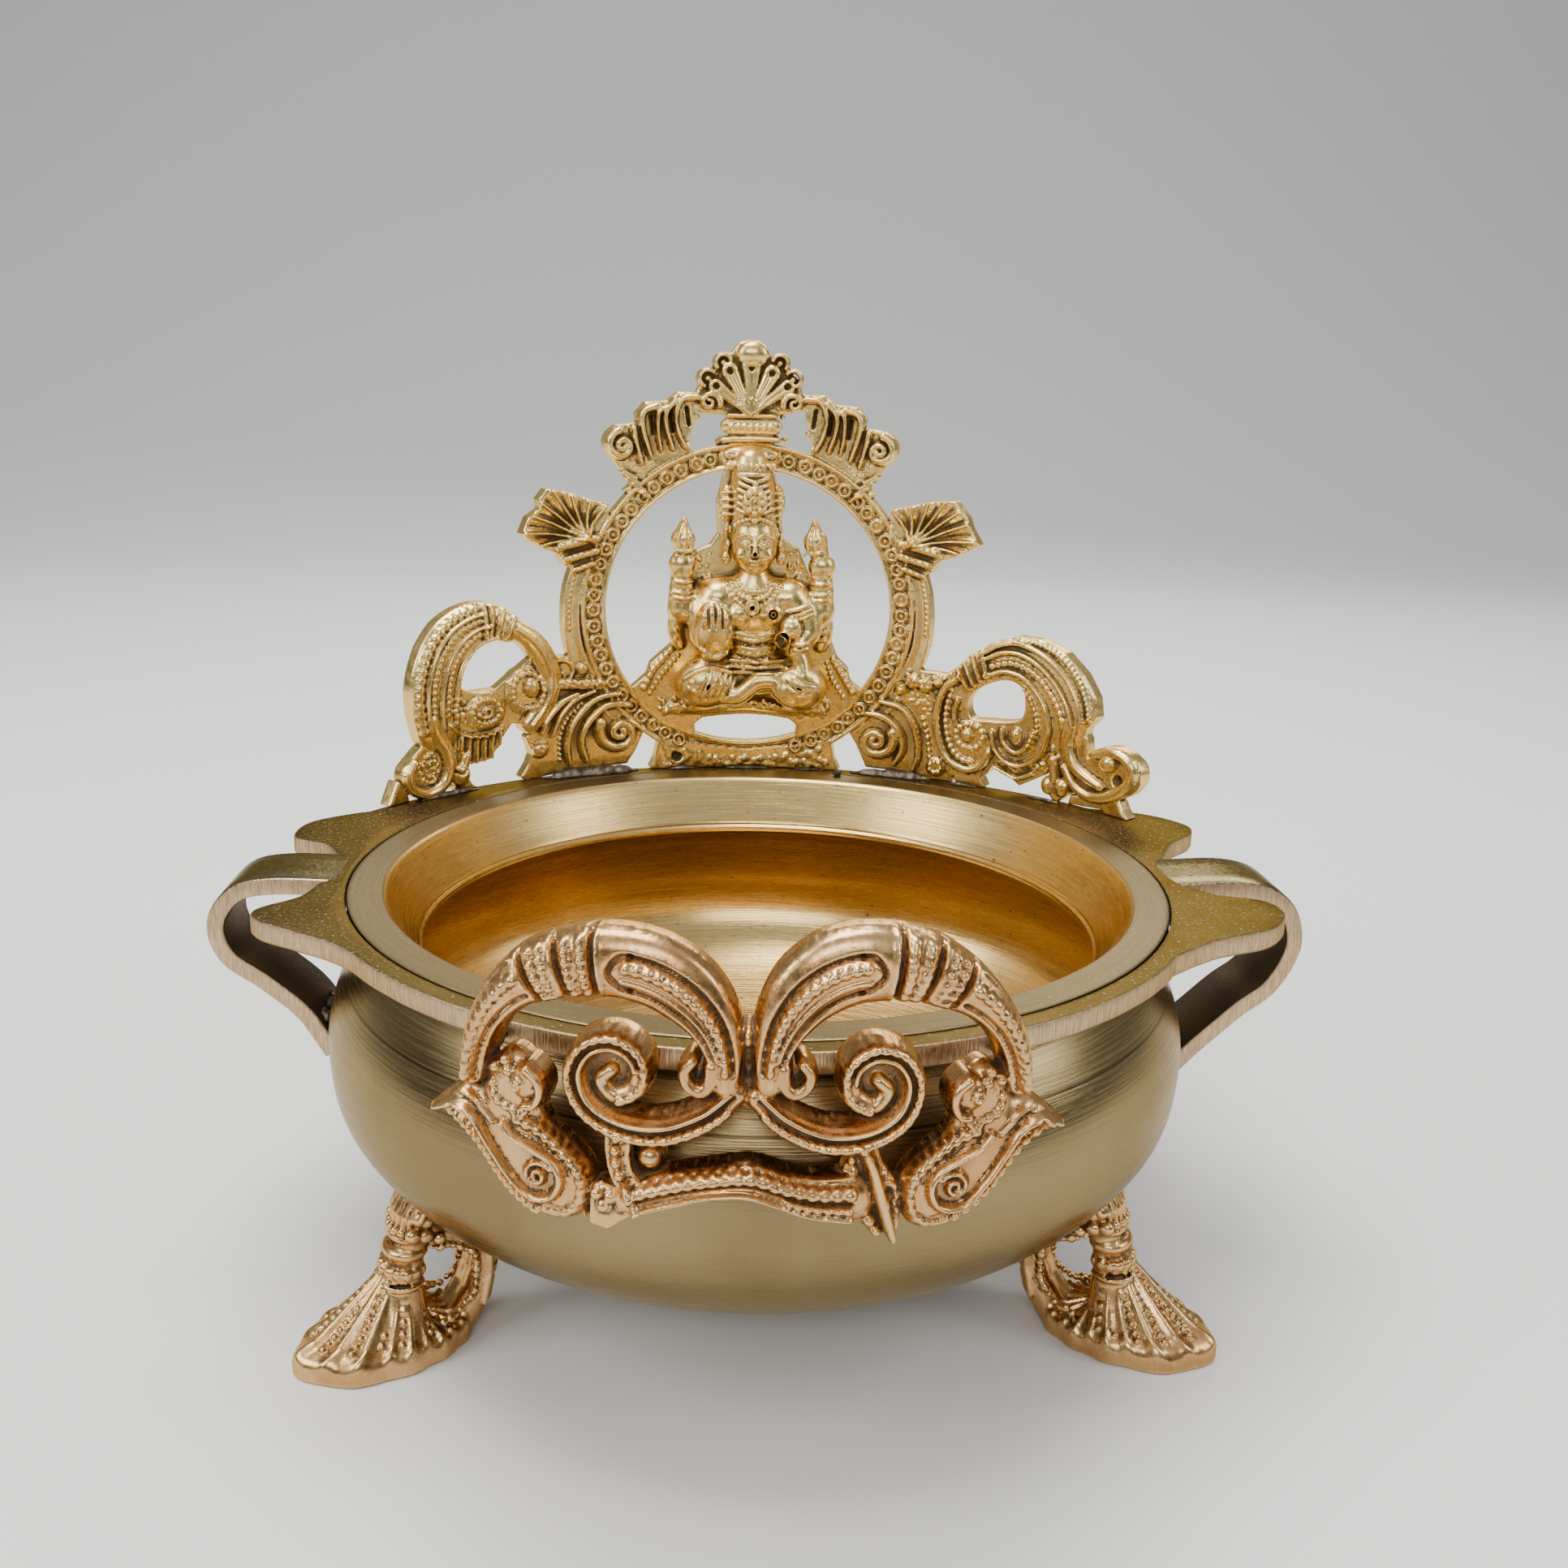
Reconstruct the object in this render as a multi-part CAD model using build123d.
"""Footed brass bowl (urli) with a lotus arch, a seated figure and a twin-peacock front ornament.

Millimetres, +Z up, origin on the table under the middle of the bowl.
X runs through the two strap handles, +Y is the arch side, -Y the front.
"""
from build123d import *
import math
import os

# ---- driving dimensions ------------------------------------------------------
RIM_Z = 74.0            # flat top of the rim above the table
LIP_R = 68.0            # inner edge of the bowl's lip
SEAM_R = 74.5           # joint between the bowl's flange and the rim plate
PLATE_R = 78.5          # plain outer edge of the rim plate
SHELF_R = 97.5          # plan radius of the plate's rear edge, which carries the arch
SHELF_Y = 37.0          # how far forward that edge begins
PLATE_T = 3.5           # thickness of plate and flange
BASE_R = 31.0           # turned disc under the bowl
BASE_Z = 10.0           # height of that disc above the table

# Bowl wall, each point (radius, depth below the rim).
BELLY_OUTSIDE = [(70.2, 6), (74, 12), (77.5, 20), (78.5, 28), (76.5, 38),
                 (68, 48), (54, 56), (40, 60.5), (32, 62)]
BELLY_INSIDE = [(0, 59.2), (25, 58.6), (39, 57), (53, 52.4), (66, 45),
                (73.4, 36.5), (75.2, 28), (73, 21.5), (68, 15.5), (63.5, 11.8)]
NECK_R = 70.0           # outside of the neck just below the flange
CREST = (61.7, 10.8)    # inward ridge below the lip
CREST_TOP = (62.1, 9.4)

# Ears of the rim plate, each from the strap side round the tip to the ring.
EARS = {
    "right_back": [(74, 9.6), (83.9, 18.5), (90.4, 26), (91.4, 33), (85, 40.4), (73, 45), (58, 51)],
    "right_front": [(74, -8), (83, -12), (90.8, -15.4), (91.8, -22), (86.5, -30), (74.8, -35.7), (62, -46)],
    "left_back": [(-74, 9.6), (-82.5, 14.6), (-90, 20), (-89.6, 29.5), (-83, 35.8), (-73, 41), (-60, 49)],
    "left_front": [(-74, -8), (-81, -14.8), (-86.8, -21.4), (-85, -27),
                   (-77.5, -32.4), (-70, -38), (-60, -49)],
}

# Strap handles: tongues of the plate bent out, down and back to the belly.
STRAP_W = 15.4
STRAP_T = 3.1
STRAP_Y = 1.3           # middle of the tongue
STRAP_PATH = {          # middle line, (distance from the axis, depth below the rim)
    "left": [(76, 1.6), (88, 1.3), (94.6, 2.9), (98.2, 8.4),
             (96.4, 14.8), (90, 19.8), (83.4, 25.8), (78.6, 33.6)],
    "right": [(76, 1.6), (91, 1.3), (98.4, 4.4), (101.05, 12),
              (97.4, 20.4), (91.5, 25.4), (84.4, 32.2), (79.6, 37.4)],
}

# Arch: an open casting curved in plan.
ARCH_R = 97.0           # plan radius of the arch's middle surface
ARCH_Y = -19.0          # plan centre of that curve
ARCH_T = 5.0
RING_Z = RIM_Z + 37.4   # centre of the ring
RING_RO = 36.8
RING_RI = 31.2
ARCH_TOP = 96.4         # top of the crest above the rim
COLLAR = (11.5, 10, 78)             # block between ring and crest: width, height, height above the rim
BASE_BLOCK = (43, 5.2, 2.6)         # block under the ring, the same three sizes
CREST_SHELL = (12.4, 9.4, 87)       # half-axes of the crest, and its middle above the rim
SCROLL_W = 8.4          # width of each C-scroll

# Front view of the arch's parts, (distance from the middle, height above the rim).
CORNER = [(11, 72), (10, 80.5), (18, 83.6), (27, 79.4), (31.3, 74.5), (26, 65), (20, 66)]
WING = [(34, 45), (40, 48), (48.2, 55.5), (44.4, 64.2), (33, 61)]
FOLIAGE = (31, 11.5, 10, 10.5)      # centre and half-axes
LINK = [(33, 16), (33, 27), (46, 27), (46, 14)]
SCROLL = {
    "left": [(-44, 29), (-48, 33), (-56, 34.6), (-64.5, 29.5), (-67.2, 21), (-64.5, 12), (-67, 4)],
    "right": [(45, 23), (50, 28.6), (58.5, 30.6), (66, 27), (69.2, 19.5), (69, 10), (72.5, 4)],
}
SCROLL_LOBES = {        # bodies and feet of the scrolls: centre and half-axes
    "left": [(-53, 14, 9.5, 7.5), (-66, 3.6, 8.2, 4.6), (-42, 4, 7, 4.8)],
    "right": [(56, 9.8, 11, 6.6), (72, 4.4, 7.6, 4.8), (45, 4, 8, 4.8)],
}

# Seated figure, front view above the rim.
FIGURE_BACK = [(-17, 12), (-24.6, 20), (-17, 27), (-13.5, 44), (-6.5, 50), (-6.2, 62), (-4.4, 69.4),
               (4.4, 69.4), (6.2, 62), (6.5, 50), (13.5, 44), (17, 27), (24.6, 20), (17, 12)]
FIGURE_BACK_T = 2.6
KNEES = (4.4, 33, 17.2)             # radius, span and height of the crossed legs
TORSO = (6.2, 7.6, 20, 29)          # radius below and above, length, height of its middle
HEAD = (5.2, 48)                    # radius and height of its middle
CROWN = (5.4, 3.6, 17, 59.5)        # radius below and above, length, height of its middle
ARM_R = 2.4

# Front ornament: flat relief curved in plan, turned slightly to the left.
ORN_TURN = -4.0         # degrees off the front
ORN_REACH = 84.5        # distance of its middle surface from the axis, at its centre
ORN_R = 120.0           # its plan radius
ORN_T = 7.0
ORN_BAND = 6.2          # width of its loops

# Right half of it in front view, (distance from the middle, height above the rim).
LOOP = [(32, -9), (36, -1.4), (30.4, 9.4), (20, 13.4), (10, 7.6), (4.6, -2), (8, -8.8), (17, -9.6)]
BIRD = [(31, -5), (43, -8.6), (39, -17), (31, -25.4), (20, -24.6), (22, -14)]
SPIRAL_LOBE = (18.2, -1.6, 6.0, 6.0)      # centre and half-axes
LOWER_LOBE = (18.5, -19, 6, 7)
GARLAND = [(-20, -21.4), (-10, -18.6), (0, -16.8), (10, -18.6), (20, -21.4)]
GARLAND_W = 4.6
BRIDGE = (6, 6, -2)                 # block that joins the loops: width, height, height above the rim

# Feet: three identical brackets, 120 degrees apart.
FOOT_AZ = {"foot_rear": 90.0, "foot_left": -150.0, "foot_right": -30.0}
TOE_R = 90.4            # reach of the toe from the axis
TOE_LEN = 31.0
TOE_W = 20.0
TOE_EDGE = 2.4          # thickness of the toe's rim
ANKLE = (70.6, 18.5)    # distance from the axis and height of the ankle's middle
FOOT_T = 8.0            # thickness of ankle and loop
ANKLE_A = 3.6           # half-depth of the ankle

# Side view of ankle, leaf top and loop, (distance from the axis, height).
FOOT_SIDE = [(61, 1), (57.4, 3), (57.8, 9), (54, 19.5), (70.6, 29.6), (73.6, 21), (74.6, 16), (70, 1)]
FOOT_HOLE = (63.6, 11.6, 2.8, 4.8, 8)   # centre, half-axes and tilt of the loop's hole

# Solder lumps.
ARCH_BEADS_X = (-68, -44, -34, -16, 0, 16, 34, 47, 71)
ORN_BEADS = ((20, 2), (36, 2), (5, 2), (25, 21))    # (x, depth below the rim), on both halves
STRAP_BEADS = {"left": (80.0, 27), "right": (79.7, 31.4)}
FOOT_BEAD = (66.0, 49.4)        # (distance from the axis, depth below the rim)
BEAD_R = 2.2
FOOT_BEAD_R = 2.0


# ---- outline helpers -----------------------------------------------------------
def ribbon(path, width, samples=14):
    """Flat face of even width that follows a spline through path."""
    line = Spline(*path)
    half = width / 2
    left, right = [], []
    for i in range(samples + 1):
        t = i / samples
        at, along = line @ t, line % t
        left.append((at.X - along.Y * half, at.Y + along.X * half))
        right.append((at.X + along.Y * half, at.Y - along.X * half))
    a, b = Spline(*left), Spline(*right)
    edges = [a, Line(left[-1], right[-1]), b, Line(right[0], left[0])]
    return make_face(Curve() + edges)


def blob(x, y, a, b, turn=0.0):
    """Elliptical face with half-axes a and b, centred at x, y."""
    return Pos(x, y) * Rot(0, 0, turn) * Ellipse(a, b)


def outline(points):
    """Closed face through points, with straight sides."""
    return make_face(Polyline(*points, close=True))


def smooth_outline(points):
    """Face bounded by one spline through points and a straight closing side."""
    return make_face(Curve() + [Spline(*points), Line(points[-1], points[0])])


def mirrored(face):
    return mirror(face, Plane.YZ)


def above_rim(points, side=1):
    """Points (across, height above the rim) as (x, z), on the side given."""
    return [(side * x, RIM_Z + h) for x, h in points]


def lobe(centre_x, above, a, b, side=1):
    """Elliptical face whose centre is given as (across, height above the rim)."""
    return blob(side * centre_x, RIM_Z + above, a, b)


def block(width, height, above):
    """Rectangular face on the middle line, its centre so far above the rim."""
    return Pos(0, RIM_Z + above) * Rectangle(width, height)


def below_rim(points):
    """Points (radius, depth below the rim) as (radius, height)."""
    return [(r, RIM_Z - depth) for r, depth in points]


def joined(pieces):
    """One object from a list that overlap in a chain."""
    whole = pieces[0]
    for piece in pieces[1:]:
        whole = whole + piece
    return whole


def curved_relief(face, radius, centre_y, thickness, facing):
    """Stand a front-view face upright and keep the part inside a curved shell.

    facing is +1 when the shell's wall lies on the +Y side of its centre, else -1.
    """
    reach = radius + thickness
    block = extrude(Plane.XZ * face, reach * facing * -1)
    block = Pos(0, centre_y, 0) * block
    tall = 4 * RIM_Z
    shell = Cylinder(radius + thickness / 2, tall) - Cylinder(radius - thickness / 2, tall)
    return block & (Pos(0, centre_y, RIM_Z) * shell)


# ---- bowl and rim plate ----------------------------------------------------------
def bowl():
    rim = RIM_Z
    outside, inside = below_rim(BELLY_OUTSIDE), below_rim(BELLY_INSIDE)
    crest, crest_top = below_rim([CREST, CREST_TOP])
    edges = [
        Polyline((LIP_R, rim), (SEAM_R, rim), (SEAM_R, rim - PLATE_T), (NECK_R, rim - PLATE_T), outside[0]),
        Spline(*outside),
        Polyline(outside[-1], (BASE_R, outside[-1][1] - 0.6), (BASE_R, BASE_Z), (0, BASE_Z), inside[0]),
        Spline(*inside, tangents=[(1, 0), (-1, 1)]),
        ThreePointArc(inside[-1], crest, crest_top),
        Line(crest_top, (LIP_R, rim)),
    ]
    return revolve(Plane.XZ * make_face(Curve() + edges), Axis.Z)


def strap(side):
    sign = -1 if side == "left" else 1
    path = [(sign * r, z) for r, z in below_rim(STRAP_PATH[side])]
    band = extrude(Plane.XZ * ribbon(path, STRAP_T, samples=20), STRAP_W)
    return Pos(0, STRAP_Y + STRAP_W / 2, 0) * band - belly_solid()


def rim_plate():
    shape = Circle(PLATE_R)
    for points in EARS.values():
        shape = shape + smooth_outline(points)
    behind = Pos(0, SHELF_Y + SHELF_R) * Rectangle(4 * SHELF_R, 2 * SHELF_R)
    shape = shape + (Pos(0, ARCH_Y) * Circle(SHELF_R) & behind)
    shape = shape - Circle(SEAM_R)
    plate = Pos(0, 0, RIM_Z - PLATE_T) * extrude(shape, PLATE_T)
    return plate + strap("left") + strap("right")


# ---- arch ----------------------------------------------------------------------------
def arch_outline():
    """Front view of the arch, x across and y as height."""
    ring = Pos(0, RING_Z) * (Circle(RING_RO) - Circle(RING_RI))
    shell_a, shell_b, shell_above = CREST_SHELL
    parts = [ring, block(*COLLAR), lobe(0, shell_above, shell_a, shell_b), block(*BASE_BLOCK)]
    for side in (-1, 1):
        for points in (CORNER, WING, LINK):
            parts.append(outline(above_rim(points, side)))
        parts.append(lobe(*FOLIAGE, side))
    for name in SCROLL:
        parts.append(ribbon(above_rim(SCROLL[name]), SCROLL_W))
        parts += [lobe(*place) for place in SCROLL_LOBES[name]]
    return joined(parts)


def arch_frame():
    above = block(4 * ARCH_R, ARCH_TOP, ARCH_TOP / 2)
    face = arch_outline() & above
    return curved_relief(face, ARCH_R, ARCH_Y, ARCH_T, +1)


# ---- seated figure ---------------------------------------------------------------------
def seated_figure():
    """Plain stand-in of the seated figure: back plate, legs, torso, arms, head and crown."""
    z = RIM_Z
    back = outline(above_rim(FIGURE_BACK)) & (Pos(0, RING_Z) * Circle(RING_RI))
    front = ARCH_Y + ARCH_R - 4.0
    knee_r, knee_span, knee_z = KNEES
    waist_r, chest_r, torso_len, torso_z = TORSO
    head_r, head_z = HEAD
    brow_r, tip_r, crown_len, crown_z = CROWN
    parts = [
        curved_relief(back, ARCH_R, ARCH_Y, FIGURE_BACK_T, +1),
        Pos(0, front - 1.5, z + knee_z) * Rot(0, 90, 0) * round_bar(knee_r, knee_span),
        Pos(0, front, z + torso_z) * Cone(waist_r, chest_r, torso_len),
        Pos(0, front - 1.5, z + head_z) * Sphere(head_r),
        Pos(0, front - 0.5, z + crown_z) * Cone(brow_r, tip_r, crown_len),
    ]
    for s in (-1, 1):
        shoulder, elbow = (s * 7, front, z + 38), (s * 15, front - 0.5, z + 40)
        raised_hand = (s * 14.8, front - 0.5, z + 56)
        lower_shoulder, lower_hand = (s * 7, front - 1, z + 36), (s * 10, front - 4.5, z + 26)
        for start, end in ((shoulder, elbow), (elbow, raised_hand), (lower_shoulder, lower_hand)):
            parts.append(rod(start, end, ARM_R))
    return joined(parts)


def round_bar(radius, length):
    """Round-ended bar along Z, length overall."""
    straight = length - 2 * radius
    bar = Cylinder(radius, straight)
    return bar + Pos(0, 0, straight / 2) * Sphere(radius) + Pos(0, 0, -straight / 2) * Sphere(radius)


def rod(start, end, radius):
    """Round-ended bar from start to end."""
    a, b = Vector(*start), Vector(*end)
    along = b - a
    place = Plane(origin=(a + b) * 0.5, z_dir=along.normalized())
    return place * round_bar(radius, along.length + 2 * radius)


# ---- front ornament ----------------------------------------------------------------------
def ornament_outline():
    """Front view of the twin-peacock ornament, x across and y as height."""
    half = joined([ribbon(above_rim(LOOP), ORN_BAND), lobe(*SPIRAL_LOBE),
                   outline(above_rim(BIRD)), lobe(*LOWER_LOBE)])
    garland = ribbon(above_rim(GARLAND), GARLAND_W)
    return joined([half, mirrored(half), garland, block(*BRIDGE)])


def front_ornament():
    body = curved_relief(ornament_outline(), ORN_R, ORN_R - ORN_REACH, ORN_T, -1)
    return Rot(0, 0, ORN_TURN) * body


# ---- feet -----------------------------------------------------------------------------------
def foot(azimuth):
    """Shell-toed bracket: fanned toe, ankle, and an open loop behind, under the belly."""
    toe_x = TOE_R - TOE_LEN / 2
    sole = Pos(toe_x, 0) * Ellipse(TOE_LEN / 2, TOE_W / 2)
    rim = extrude(sole, TOE_EDGE)
    top = Pos(ANKLE[0], 0, ANKLE[1]) * Ellipse(ANKLE_A, FOOT_T / 2)
    shell = loft([Pos(0, 0, TOE_EDGE) * sole, top])
    hole = blob(*FOOT_HOLE)
    web = Pos(0, FOOT_T / 2, 0) * extrude(Plane.XZ * (outline(FOOT_SIDE) - hole), FOOT_T)
    slot = Pos(0, TOE_W, 0) * extrude(Plane.XZ * hole, 2 * TOE_W)
    body = (rim + shell + web) - slot
    body = Rot(0, 0, azimuth) * body
    return body - belly_solid()


def belly_solid():
    """The bowl's outer shape as a full solid, to trim what is fitted against it."""
    outside = below_rim(BELLY_OUTSIDE)
    top, bottom = outside[0][1], outside[-1][1]
    edges = [Spline(*outside), Polyline(outside[-1], (0, bottom), (0, top), outside[0])]
    return revolve(Plane.XZ * make_face(Curve() + edges), Axis.Z)


# ---- solder ------------------------------------------------------------------------------------
def polar(radius, azimuth, height):
    a = math.radians(azimuth)
    return (radius * math.cos(a), radius * math.sin(a), height)


def beads(places, radius, cut):
    """Round lumps of solder at places, trimmed by the pieces that they join."""
    lumps = []
    for place in places:
        lump = Pos(*place) * Sphere(radius)
        for piece in cut:
            lump = lump - piece
        lumps += lump.solids()
    return lumps


def arch_solder(arch):
    """Lumps along the foot of the arch, on its concave side."""
    places = []
    for x in ARCH_BEADS_X:
        turn = math.asin(x / ARCH_R)
        reach = ARCH_R - ARCH_T / 2 - 0.4
        places.append((reach * math.sin(turn), ARCH_Y + reach * math.cos(turn), RIM_Z + 0.3))
    below = Pos(0, 0, RIM_Z / 2) * Box(4 * PLATE_R, 4 * PLATE_R, RIM_Z)
    return Compound(children=beads(places, BEAD_R, [below, arch]))


def ornament_solder(ornament, plate, wall):
    """Short bars of solder between the ornament's back and the plate's edge or the belly."""
    bars = []
    for side in (-1, 1):
        for x, depth in ORN_BEADS:
            y = -math.sqrt(PLATE_R ** 2 - x ** 2) - 2.5
            bar = Pos(side * x, y, RIM_Z - depth) * Rot(90, 0, 0) * Cylinder(BEAD_R, 12)
            bar = Rot(0, 0, ORN_TURN) * bar
            for piece in (ornament, plate, wall):
                bar = bar - piece
            bars += [lump for lump in bar.solids()
                     if math.hypot(lump.center().X, lump.center().Y) > PLATE_R - 2]
    return Compound(children=bars)


def handle_solder(wall):
    """Lumps in the wedge between each strap's end and the belly."""
    lumps = []
    for side, (reach, depth) in STRAP_BEADS.items():
        sign = -1 if side == "left" else 1
        places = [(sign * reach, STRAP_Y + dy, RIM_Z - depth) for dy in (-5, 0, 5)]
        lumps += beads(places, BEAD_R, [wall, strap(side)])
    return Compound(children=lumps)


def foot_solder(wall, nodes):
    """Lumps each side of every foot where its top meets the belly."""
    reach, depth = FOOT_BEAD
    lumps = []
    for name, azimuth in FOOT_AZ.items():
        places = [polar(reach, azimuth + turn, RIM_Z - depth) for turn in (-4, 4)]
        lumps += beads(places, FOOT_BEAD_R, [wall, nodes[name]])
    return Compound(children=lumps)


def main():
    os.makedirs("parts", exist_ok=True)
    nodes = {"bowl": bowl(), "rim_plate": rim_plate(), "arch_frame": arch_frame(),
             "seated_figure": seated_figure(), "front_ornament": front_ornament()}
    for name, azimuth in FOOT_AZ.items():
        nodes[name] = foot(azimuth)
    wall = belly_solid()
    nodes["arch_solder"] = arch_solder(nodes["arch_frame"])
    nodes["ornament_solder"] = ornament_solder(nodes["front_ornament"], nodes["rim_plate"], nodes["bowl"])
    nodes["handle_solder"] = handle_solder(wall)
    nodes["foot_solder"] = foot_solder(wall, nodes)
    for name, shape in nodes.items():
        export_step(shape, f"parts/{name}.step")


main()
